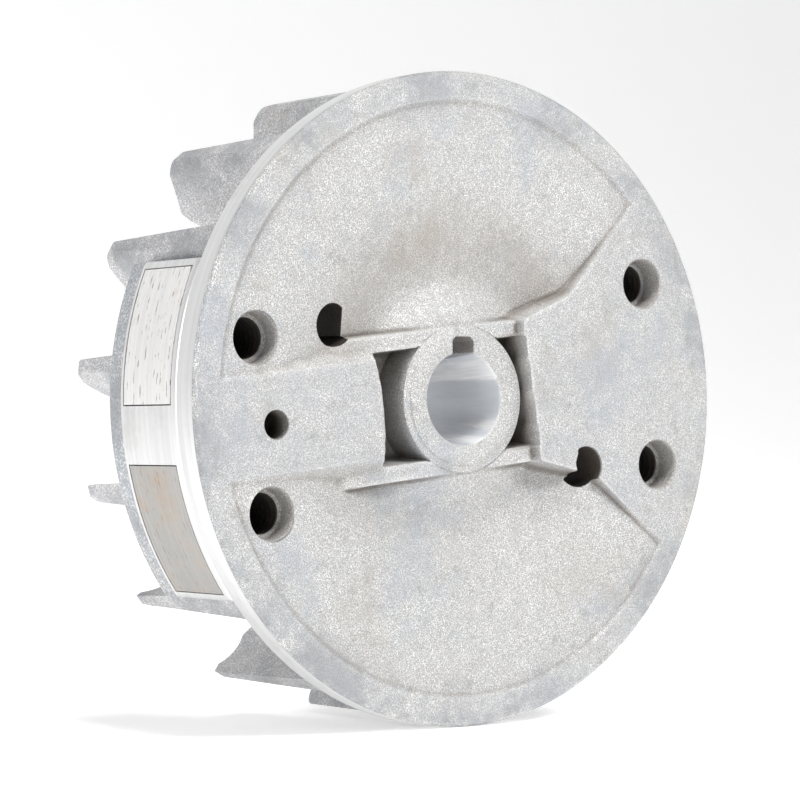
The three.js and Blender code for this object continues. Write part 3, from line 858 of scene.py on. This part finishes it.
# %% Laminations from the CAD plates
def smooth_copy(node, name, thick):
    """A copy of a CAD node with merged points, smooth except at edges over 30 degrees. It is
    made thick millimetres thick about its middle, so that the seams stay hair thin."""
    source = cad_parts[node].data
    spots = np.empty(len(source.vertices) * 3, dtype=np.float32)
    source.vertices.foreach_get("co", spots)
    corner = np.empty(len(source.loops), dtype=np.int32)
    source.loops.foreach_get("vertex_index", corner)
    spots = spots.reshape(-1, 3).astype(np.float64) / MM
    low, high = spots[:, 1].min(), spots[:, 1].max()
    spots[:, 1] = (low + high) / 2 + (spots[:, 1] - (low + high) / 2) * thick / (high - low)
    if name.endswith("_01"):
        print(node, "is", round(high - low, 4), "thick in the frame and", thick, "here")
    merged, index = np.unique(np.round(spots, 4), axis=0, return_inverse=True)
    triangles = index.ravel()[corner].reshape(-1, 3)
    whole = ((triangles[:, 0] != triangles[:, 1]) & (triangles[:, 1] != triangles[:, 2])
             & (triangles[:, 0] != triangles[:, 2]))
    copy = make_piece(name, merged, [triangles[whole]], 30)
    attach(copy, "root")
    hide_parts(node)
    return copy


plates = []
for node in sorted(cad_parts):
    if "lamination" in node:
        plate = smooth_copy(node, node.replace("lamination", "plate"), 0.985)
        plates.append(plate)

# %% [markdown]
# ## Shader groups
# The same few effects make all the finishes: the grain that shot blasting leaves on a casting,
# cloudy stains, the fine rings of a lathe tool and short dashes of rust. Each is a group with
# named inputs and outputs. A group gives only colours, masks and heights, and the shader stays
# in the material.


# %% Helpers for node groups
def new_group(name, inputs, outputs):
    """An empty shader group. inputs are (name, type, default), outputs are (name, type)."""
    group = bpy.data.node_groups.new(name, "ShaderNodeTree")
    for label, kind, default in inputs:
        socket = group.interface.new_socket(name=label, in_out="INPUT", socket_type=kind)
        if default is not None:
            socket.default_value = default
    for label, kind in outputs:
        group.interface.new_socket(name=label, in_out="OUTPUT", socket_type=kind)
    return group, group.nodes.new("NodeGroupInput"), group.nodes.new("NodeGroupOutput")


def node(tree, kind, links=(), **settings):
    """A node with its settings and input values. A value that is a socket is linked."""
    made = tree.nodes.new(kind)
    for key, value in settings.items():
        setattr(made, key, value)
    for key, value in links:
        if isinstance(value, bpy.types.NodeSocket):
            tree.links.new(value, made.inputs[key])
        else:
            made.inputs[key].default_value = value
    return made


def maths(tree, operation, a, b=0.0, clamp=False):
    return node(tree, "ShaderNodeMath", [(0, a), (1, b)], operation=operation,
                use_clamp=clamp).outputs[0]


def spread(tree, value, low, high, to_low=0.0, to_high=1.0):
    """A value carried from low..high to to_low..to_high, with soft ends."""
    return node(tree, "ShaderNodeMapRange", [("Value", value), ("From Min", low),
                ("From Max", high), ("To Min", to_low), ("To Max", to_high)],
                interpolation_type="SMOOTHSTEP").outputs["Result"]


def cloud(tree, vector, scale, detail=3.0, roughness=0.55):
    return node(tree, "ShaderNodeTexNoise", [("Vector", vector), ("Scale", scale),
                ("Detail", detail), ("Roughness", roughness)]).outputs["Fac"]


def blend(tree, share, a, b, blend_type="MIX"):
    mixed = node(tree, "ShaderNodeMix", data_type="RGBA", blend_type=blend_type)
    for socket, value in ((mixed.inputs[0], share), (mixed.inputs[6], a), (mixed.inputs[7], b)):
        if isinstance(value, bpy.types.NodeSocket):
            tree.links.new(value, socket)
        else:
            socket.default_value = value if not isinstance(value, tuple) else (*value, 1.0)
    return mixed.outputs[2]


# %% [markdown]
# ## Blasted grain
# Shot leaves overlapping dents. Two sizes of noise and a cell pattern, turned so that they don't
# line up with the axes, give the height. The steepest spots glint; Sparkle stands for them as the
# high spots of the fine noise, which the cast finish paints lighter: a painted glint.


# %% Blasted grain
def blasted_grain():
    """Tiny dents of two sizes. Height is their sum; Sparkle picks out the spots painted as bright
    facets.
    """
    tree, ins, outs = new_group("blasted grain", [
        ("Vector", "NodeSocketVector", None), ("Dents per metre", "NodeSocketFloat", 3600.0)],
        [("Height", "NodeSocketFloat"), ("Sparkle", "NodeSocketFloat")])
    size = ins.outputs["Dents per metre"]
    turned_vector = node(tree, "ShaderNodeMapping", [("Vector", ins.outputs["Vector"]),
                         ("Rotation", (0.61, 0.43, 0.87))]).outputs[0]
    fine = cloud(tree, turned_vector, size, 2.0, 0.6)
    wide = cloud(tree, turned_vector, maths(tree, "MULTIPLY", size, 0.42), 2.0, 0.5)
    facet = node(tree, "ShaderNodeTexVoronoi", [("Vector", turned_vector),
                 ("Scale", maths(tree, "MULTIPLY", size, 0.6))]).outputs["Distance"]
    height = maths(tree, "ADD", maths(tree, "MULTIPLY", fine, 0.8),
                   maths(tree, "ADD", maths(tree, "MULTIPLY", wide, 0.35),
                         maths(tree, "MULTIPLY", facet, 0.2)))
    tree.links.new(height, outs.inputs["Height"])
    tree.links.new(spread(tree, fine, 0.42, 0.68), outs.inputs["Sparkle"])
    return tree


# %% [markdown]
# ## Stains
# Stains have soft, ragged edges. A large cloud sets where they are and a small one frays them.


# %% Stains
def stains():
    """Soft clouds broken up by smaller ones. Amount slides the threshold."""
    tree, ins, outs = new_group("stains", [
        ("Vector", "NodeSocketVector", None), ("Clouds per metre", "NodeSocketFloat", 60.0),
        ("Amount", "NodeSocketFloat", 0.5)], [("Mask", "NodeSocketFloat")])
    big = cloud(tree, ins.outputs["Vector"], ins.outputs["Clouds per metre"], 4.0, 0.62)
    small = cloud(tree, ins.outputs["Vector"],
                  maths(tree, "MULTIPLY", ins.outputs["Clouds per metre"], 6.3), 3.0, 0.6)
    both = maths(tree, "ADD", maths(tree, "MULTIPLY", big, 0.72), maths(tree, "MULTIPLY", small, 0.28))
    edge = maths(tree, "SUBTRACT", 0.6, maths(tree, "MULTIPLY", ins.outputs["Amount"], 0.2))
    mask = maths(tree, "MULTIPLY", maths(tree, "SUBTRACT", both, edge), 7.0, clamp=True)
    tree.links.new(mask, outs.inputs["Mask"])
    return tree


# %% [markdown]
# ## Tool rings
# A lathe tool marks a wall with fine rings at a steady height. Noise that changes fast along Y
# and slowly along X and Z looks the same, with the odd ring wider or darker.


# %% Tool rings
def tool_rings():
    """Rings a lathe tool leaves on a turned wall: noise squeezed along Y and long around it."""
    tree, ins, outs = new_group("tool rings", [
        ("Vector", "NodeSocketVector", None), ("Rings per metre", "NodeSocketFloat", 5000.0)],
        [("Height", "NodeSocketFloat"), ("Streak", "NodeSocketFloat")])
    scale = node(tree, "ShaderNodeCombineXYZ", [("X", 30.0), ("Y", ins.outputs["Rings per metre"]),
                 ("Z", 30.0)]).outputs[0]
    squeezed = node(tree, "ShaderNodeVectorMath", [(0, ins.outputs["Vector"]), (1, scale)],
                    operation="MULTIPLY").outputs[0]
    rings = cloud(tree, squeezed, 1.0, 2.0, 0.6)
    streak = cloud(tree, node(tree, "ShaderNodeVectorMath", [(0, squeezed), (1, (1.0, 0.22, 1.0))],
                   operation="MULTIPLY").outputs[0], 1.0, 2.0, 0.5)
    tree.links.new(rings, outs.inputs["Height"])
    tree.links.new(spread(tree, streak, 0.35, 0.65), outs.inputs["Streak"])
    return tree


GRAIN, STAINS, RINGS = blasted_grain(), stains(), tool_rings()
print("groups:", [g.name for g in (GRAIN, STAINS, RINGS)])


# %% [markdown]
# ## Finishes
# The casting is pale grey aluminium, a little darker in stained patches. Hollows, the pocket, the
# holes and the keyway get painted shade, and edges are painted lighter, partly as metal rubbed by
# handling and partly as a painted highlight. The die release agent leaves blue-grey and brown clouds.


# %% Cast aluminium
def use(tree, group, **values):
    """Places a group in a tree. Keyword names use _ for a space."""
    made = tree.nodes.new("ShaderNodeGroup")
    made.node_tree = group
    for key, value in values.items():
        socket = made.inputs[key.replace("_", " ")]
        if isinstance(value, bpy.types.NodeSocket):
            tree.links.new(value, socket)
        else:
            socket.default_value = value
    return made


def new_material(name, preview):
    material = bpy.data.materials.new(name)
    material.use_nodes = True
    material.diffuse_color = (*preview, 1.0)
    tree = material.node_tree
    where = tree.nodes.new("ShaderNodeTexCoord").outputs["Object"]
    return material, tree, tree.nodes["Principled BSDF"], where


def bump(tree, shader, height, distance, strength=1.0):
    made = node(tree, "ShaderNodeBump", [("Height", height), ("Distance", distance),
                ("Strength", strength)])
    tree.links.new(made.outputs["Normal"], shader.inputs["Normal"])


def read_number(tree, name):
    return node(tree, "ShaderNodeAttribute", attribute_name=name).outputs["Fac"]


def cast_aluminium(name, tone=(0.60, 0.597, 0.59), blue=0.42, brown=0.32, dents=5200.0,
                   depth=0.0003, roughness=0.46, metallic=0.88):
    """As-cast aluminium. Blue and brown set how much of the surface each stain covers."""
    material, tree, shader, where = new_material(name, tone)
    grain = use(tree, GRAIN, Vector=where, Dents_per_metre=dents)
    moved = node(tree, "ShaderNodeMapping", [
        ("Vector", where), ("Location", (0.031, 0.017, 0.052))]).outputs[0]
    blue_mask = use(tree, STAINS, Vector=where, Clouds_per_metre=52.0, Amount=blue).outputs[0]
    brown_mask = use(tree, STAINS, Vector=moved, Clouds_per_metre=38.0, Amount=brown).outputs[0]
    fleck = use(tree, STAINS, Vector=moved, Clouds_per_metre=420.0, Amount=0.30).outputs[0]
    xyz = node(tree, "ShaderNodeSeparateXYZ", [(0, where)])
    radius = node(tree, "ShaderNodeVectorMath", [(0, node(tree, "ShaderNodeCombineXYZ", [
        ("X", xyz.outputs["X"]), ("Z", xyz.outputs["Z"])]).outputs[0])],
        operation="LENGTH").outputs["Value"]
    rim_stain = maths(tree, "MULTIPLY", spread(tree, radius, 0.044, 0.054),
                      use(tree, STAINS, Vector=moved, Clouds_per_metre=70.0, Amount=0.75).outputs[0])
    patch = spread(tree, cloud(tree, where, 520.0, 3.0, 0.65), 0.36, 0.64)
    # The grain shows in the colour too: darker specks, and lighter ones where Sparkle is high, which
    # are painted glints.
    colour = blend(tree, grain.outputs["Sparkle"], tuple(c * 0.66 for c in tone),
                   tuple(min(1.0, c * 1.5) for c in tone))
    colour = blend(tree, maths(tree, "MULTIPLY", patch, 0.3), colour, tuple(c * 0.74 for c in tone))
    colour = blend(tree, maths(tree, "MULTIPLY", blue_mask, 0.6), colour, (0.40, 0.425, 0.47))
    colour = blend(tree, maths(tree, "MULTIPLY", brown_mask, 0.5), colour, (0.42, 0.38, 0.335))
    colour = blend(tree, maths(tree, "MULTIPLY", rim_stain, 0.8), colour, (0.33, 0.34, 0.36))
    # The darker ring in the dish is partly painted shade with a brown stain's tone, and partly the
    # shade of its shape.
    dish_shade_and_stain = maths(tree, "MULTIPLY", read_number(tree, "bowl"), spread(
        tree, cloud(tree, moved, 110.0, 4.0, 0.6), 0.3, 0.6, 0.45, 1.0))
    colour = blend(tree, maths(tree, "MULTIPLY", dish_shade_and_stain, 0.5), colour, (0.37, 0.335, 0.30))
    # The flat parts are painted a little bluer than the dishes.
    skin = maths(tree, "MULTIPLY", read_number(tree, "flat"),
                 spread(tree, cloud(tree, moved, 160.0, 4.0, 0.65), 0.35, 0.6, 0.25, 1.0))
    colour = blend(tree, maths(tree, "MULTIPLY", skin, 0.38), colour, (0.40, 0.415, 0.445))
    colour = blend(tree, maths(tree, "MULTIPLY", fleck, 0.38), colour, (0.25, 0.235, 0.22))
    # Edges painted lighter: partly rubbed metal, partly a painted highlight.
    colour = blend(tree, maths(tree, "MULTIPLY", read_number(tree, "edge_wear_and_highlight"), 0.22), colour,
                   (0.93, 0.93, 0.92))
    # Painted shade, dark brown to near black, in hollows, in the pocket, down the holes and in the
    # keyway. It also makes the metal less metallic there.
    painted_shade = read_number(tree, "painted_shade")
    shade_tone = blend(tree, painted_shade, (0.25, 0.205, 0.165), (0.018, 0.015, 0.013))
    colour = blend(tree, maths(tree, "MULTIPLY", painted_shade, 1.3, True), colour, shade_tone)
    tree.links.new(colour, shader.inputs["Base Color"])
    rough = spread(tree, grain.outputs["Sparkle"], 0.0, 1.0, roughness + 0.08, roughness - 0.06)
    rough = maths(tree, "ADD", rough, maths(tree, "MULTIPLY", blue_mask, 0.07))
    tree.links.new(rough, shader.inputs["Roughness"])
    metal = maths(tree, "SUBTRACT", metallic, maths(tree, "MULTIPLY", painted_shade, 0.5), clamp=True)
    tree.links.new(metal, shader.inputs["Metallic"])
    bump(tree, shader, grain.outputs["Height"], depth)
    return material


cast = cast_aluminium("cast aluminium")
cast_blade = cast_aluminium("cast aluminium blades", (0.62, 0.617, 0.625), 0.15, 0.1, 4200.0,
                            0.00022, 0.48)
cast_smooth = cast_aluminium("cast aluminium smoother", (0.58, 0.59, 0.605), 0.6, 0.3, 2600.0,
                             0.0002, 0.42)


# %% [markdown]
# ## Turned and reamed aluminium
# Tools leave bright metal where they cut: the rim's edge and the sector's outside are turned, and
# the bore is reamed to its taper. They are smoother and brighter than the cast skin.


# %% Turned and reamed aluminium
def turned_aluminium(name, tone=(0.70, 0.70, 0.70), rings=5200.0, roughness=0.34, depth=0.00003,
                     stain=0.3):
    """Fresh tool rings, with thin darker streaks and a few stains."""
    material, tree, shader, where = new_material(name, tone)
    marks = use(tree, RINGS, Vector=where, Rings_per_metre=rings)
    mask = use(tree, STAINS, Vector=where, Clouds_per_metre=90.0, Amount=stain).outputs[0]
    dark = tuple(c * 0.86 for c in tone)
    colour = blend(tree, maths(tree, "MULTIPLY", marks.outputs["Streak"], 0.5), tone, dark)
    colour = blend(tree, maths(tree, "MULTIPLY", mask, 0.4), colour, (0.48, 0.47, 0.46))
    tree.links.new(colour, shader.inputs["Base Color"])
    tree.links.new(spread(tree, marks.outputs["Streak"], 0.0, 1.0, roughness, roughness + 0.12),
                   shader.inputs["Roughness"])
    shader.inputs["Metallic"].default_value = 0.8
    bump(tree, shader, marks.outputs["Height"], depth)
    return material


def reamed_bore(name):
    """A reamed taper with bright and dull bands that run along it: a cloud stretched along Y.
    The bands are painted colour. They stand in for reflections, and are no known tool mark."""
    material, tree, shader, where = new_material(name, (0.8, 0.8, 0.81))
    long_way = node(tree, "ShaderNodeMapping", [("Vector", where), ("Scale", (190.0, 5.0, 190.0)),
                    ("Location", (0.4, 0.0, 1.7))]).outputs[0]
    bands = spread(tree, cloud(tree, long_way, 1.0, 1.5, 0.5), 0.44, 0.56)
    hair = spread(tree, cloud(tree, node(tree, "ShaderNodeVectorMath", [(0, long_way),
                  (1, (9.0, 1.0, 9.0))], operation="MULTIPLY").outputs[0], 1.0, 2.0, 0.6), 0.35, 0.65)
    colour = blend(tree, bands, (0.62, 0.64, 0.67), (1.0, 1.0, 1.0))
    colour = blend(tree, maths(tree, "MULTIPLY", hair, 0.25), colour, (0.5, 0.51, 0.53))
    tree.links.new(colour, shader.inputs["Base Color"])
    tree.links.new(spread(tree, bands, 0.0, 1.0, 0.34, 0.2), shader.inputs["Roughness"])
    shader.inputs["Metallic"].default_value = 0.4
    bump(tree, shader, hair, 0.000004)
    return material


turned_wall = turned_aluminium("turned aluminium")
reamed = reamed_bore("reamed bore")


# %% [markdown]
# ## Lamination steel
# The shoes are turned together with the casting, so their edges are bright and the seams are
# nearly closed. Rust starts in the seams, in short dashes. One shoe is duller than the other.


# %% Lamination steel
def lamination_steel(name, tone, rust_amount, dash_amount):
    """Ground edges of thin steel sheets. Each plate has its own shade, and the seams between
    plates carry broken dashes of rust: the height along Y, counted in plate pitches, gives the
    distance to the nearest seam."""
    material, tree, shader, where = new_material(name, tone)
    xyz = node(tree, "ShaderNodeSeparateXYZ", [(0, where)])
    pitch = 0.013900 / 14
    steps = maths(tree, "DIVIDE", maths(tree, "SUBTRACT", xyz.outputs["Y"], 0.00585), pitch)
    seam = maths(tree, "ABSOLUTE", maths(tree, "SUBTRACT", maths(tree, "FRACT", steps), 0.5))
    plate_shade = node(tree, "ShaderNodeTexWhiteNoise", [("W", maths(tree, "FLOOR", steps))],
                       noise_dimensions="1D").outputs["Value"]
    stretched = node(tree, "ShaderNodeMapping", [
        ("Vector", where), ("Scale", (520.0, 1700.0, 520.0))]).outputs[0]
    dash = spread(tree, cloud(tree, stretched, 1.0, 2.0, 0.5), 0.57, 0.66)
    dash = maths(tree, "MULTIPLY", dash, spread(tree, seam, 0.24, 0.46))
    marks = use(tree, RINGS, Vector=where, Rings_per_metre=6500.0)
    rust = use(tree, STAINS, Vector=where, Clouds_per_metre=140.0, Amount=rust_amount).outputs[0]
    colour = blend(tree, maths(tree, "MULTIPLY", plate_shade, 0.5), tone, tuple(c * 0.86 for c in tone))
    colour = blend(tree, maths(tree, "MULTIPLY", marks.outputs["Streak"], 0.35), colour,
                   tuple(min(1, c * 1.15) for c in tone))
    colour = blend(tree, maths(tree, "MULTIPLY", rust, 0.55), colour, (0.46, 0.36, 0.28))
    colour = blend(tree, maths(tree, "MULTIPLY", dash, dash_amount), colour, (0.27, 0.17, 0.11))
    tree.links.new(colour, shader.inputs["Base Color"])
    tree.links.new(spread(tree, rust, 0.0, 1.0, 0.36, 0.62), shader.inputs["Roughness"])
    metal = maths(tree, "SUBTRACT", 0.8, maths(tree, "MULTIPLY", rust, 0.5), clamp=True)
    tree.links.new(metal, shader.inputs["Metallic"])
    bump(tree, shader, maths(tree, "SUBTRACT", marks.outputs["Height"], dash), 0.00005)
    return material


bright_steel = lamination_steel("lamination steel bright", (0.80, 0.795, 0.785), 0.18, 0.75)
dull_steel = lamination_steel("lamination steel dull", (0.37, 0.36, 0.345), 0.42, 0.55)


# %% [markdown]
# ## Rivets and magnet
# These lie inside the casting. They get a plain metal finish of their own, for views with the
# casting taken away.


# %% Hidden parts
def plain_metal(name, tone, roughness, metallic):
    """A finish for pieces inside the casting: dull metal with a fine grain and stains."""
    material, tree, shader, where = new_material(name, tone)
    grain = use(tree, GRAIN, Vector=where, Dents_per_metre=2600.0)
    mask = use(tree, STAINS, Vector=where, Clouds_per_metre=200.0, Amount=0.5).outputs[0]
    colour = blend(tree, mask, tone, tuple(c * 0.7 for c in tone))
    tree.links.new(colour, shader.inputs["Base Color"])
    tree.links.new(spread(tree, mask, 0.0, 1.0, roughness, roughness + 0.15),
                   shader.inputs["Roughness"])
    shader.inputs["Metallic"].default_value = metallic
    bump(tree, shader, grain.outputs["Height"], 0.00006)
    return material


rivet_metal = plain_metal("rivet steel", (0.45, 0.44, 0.43), 0.38, 0.9)
magnet_metal = plain_metal("magnet alloy", (0.22, 0.21, 0.205), 0.5, 0.7)

# %% [markdown]
# ## Which finish goes where
# Most of the casting is as it left the die. The rim's edge and the sector's outside are turned,
# the bore is reamed, and the sector's back margin, which the tool did not reach, is smoother.


# %% Finishes onto pieces
def finish_by(piece, materials, pick):
    """Gives a piece its materials. pick takes the middles of its faces in millimetres and
    returns a material number for each face."""
    for material in materials:
        piece.data.materials.append(material)
    middle = np.empty(len(piece.data.polygons) * 3, dtype=np.float32)
    piece.data.polygons.foreach_get("center", middle)
    chosen = pick(middle.reshape(-1, 3) / MM).astype(np.int32)
    piece.data.polygons.foreach_set("material_index", chosen)


def radius_of(middle):
    return np.hypot(middle[:, 0], middle[:, 2])


finish_by(rim, [cast, turned_wall], lambda m: (radius_of(m) > 54.9) | (m[:, 1] > 3.6))
finish_by(hub, [cast, reamed], lambda m: (radius_of(m) < 8.0) & (m[:, 1] > 0.05))
finish_by(sector, [cast_smooth, turned_wall, cast], lambda m: np.where(
    (radius_of(m) > SECTOR_R - 0.6) & (m[:, 1] < 20.4), 1, np.where(m[:, 1] < 20, 2, 0)))
for piece in [face, holes, back] + bosses:
    piece.data.materials.append(cast)
for piece in [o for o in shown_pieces() if o.name.startswith("cooling_blade")]:
    piece.data.materials.append(cast_blade)
for piece in plates:
    piece.data.materials.append(bright_steel if "leading" in piece.name else dull_steel)
for name, cad_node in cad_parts.items():
    if "rivet" in name or name == "magnet":
        cad_node.data.materials.clear()
        cad_node.data.materials.append(magnet_metal if name == "magnet" else rivet_metal)


# %% [markdown]
# ## Light
# Three soft boxes light the wheel: one above, one in front and to the right, and a weak one low
# on the left for the rim's edge. The room is dim, so that the boxes draw the shape, and the
# floor's own small glow keeps it pale. The Standard view transform leaves the greys as they
# are. Seen from the side, the room is a mid grey above the floor's end.


# %% Lights
def soft_box(name, place, aim, size, power):
    """A square area light at place, in metres, that points at aim."""
    lamp = bpy.data.lights.new(name, "AREA")
    lamp.shape, lamp.size, lamp.energy = "SQUARE", size, power
    made = bpy.data.objects.new(name, lamp)
    back_axis = np.array(place, dtype=float) - np.array(aim, dtype=float)
    back_axis /= np.linalg.norm(back_axis)
    side = np.cross((0.0, 0.0, 1.0), back_axis)
    side /= np.linalg.norm(side)
    up = np.cross(back_axis, side)
    turn = Matrix([list(row) for row in np.stack([side, up, back_axis], axis=1)]).to_4x4()
    made.matrix_world = Matrix.Translation([float(c) for c in place]) @ turn
    bpy.context.scene.collection.objects.link(made)
    return made


soft_box("upper box", (-0.10, -0.24, 0.90), (0, 0, 0), 0.24, 6.0)
soft_box("front box", (0.36, -0.62, 0.62), (0, 0, 0), 0.26, 6.2)
soft_box("left box", (-0.80, -0.26, 0.22), (0, 0.01, 0), 0.3, 2.0)
room = bpy.data.worlds.new("room")
room.use_nodes = True
room.node_tree.nodes["Background"].inputs["Color"].default_value = (1, 1, 1, 1)
room.node_tree.nodes["Background"].inputs["Strength"].default_value = 0.25
bpy.context.scene.world = room
bpy.context.scene.view_settings.view_transform = "Standard"
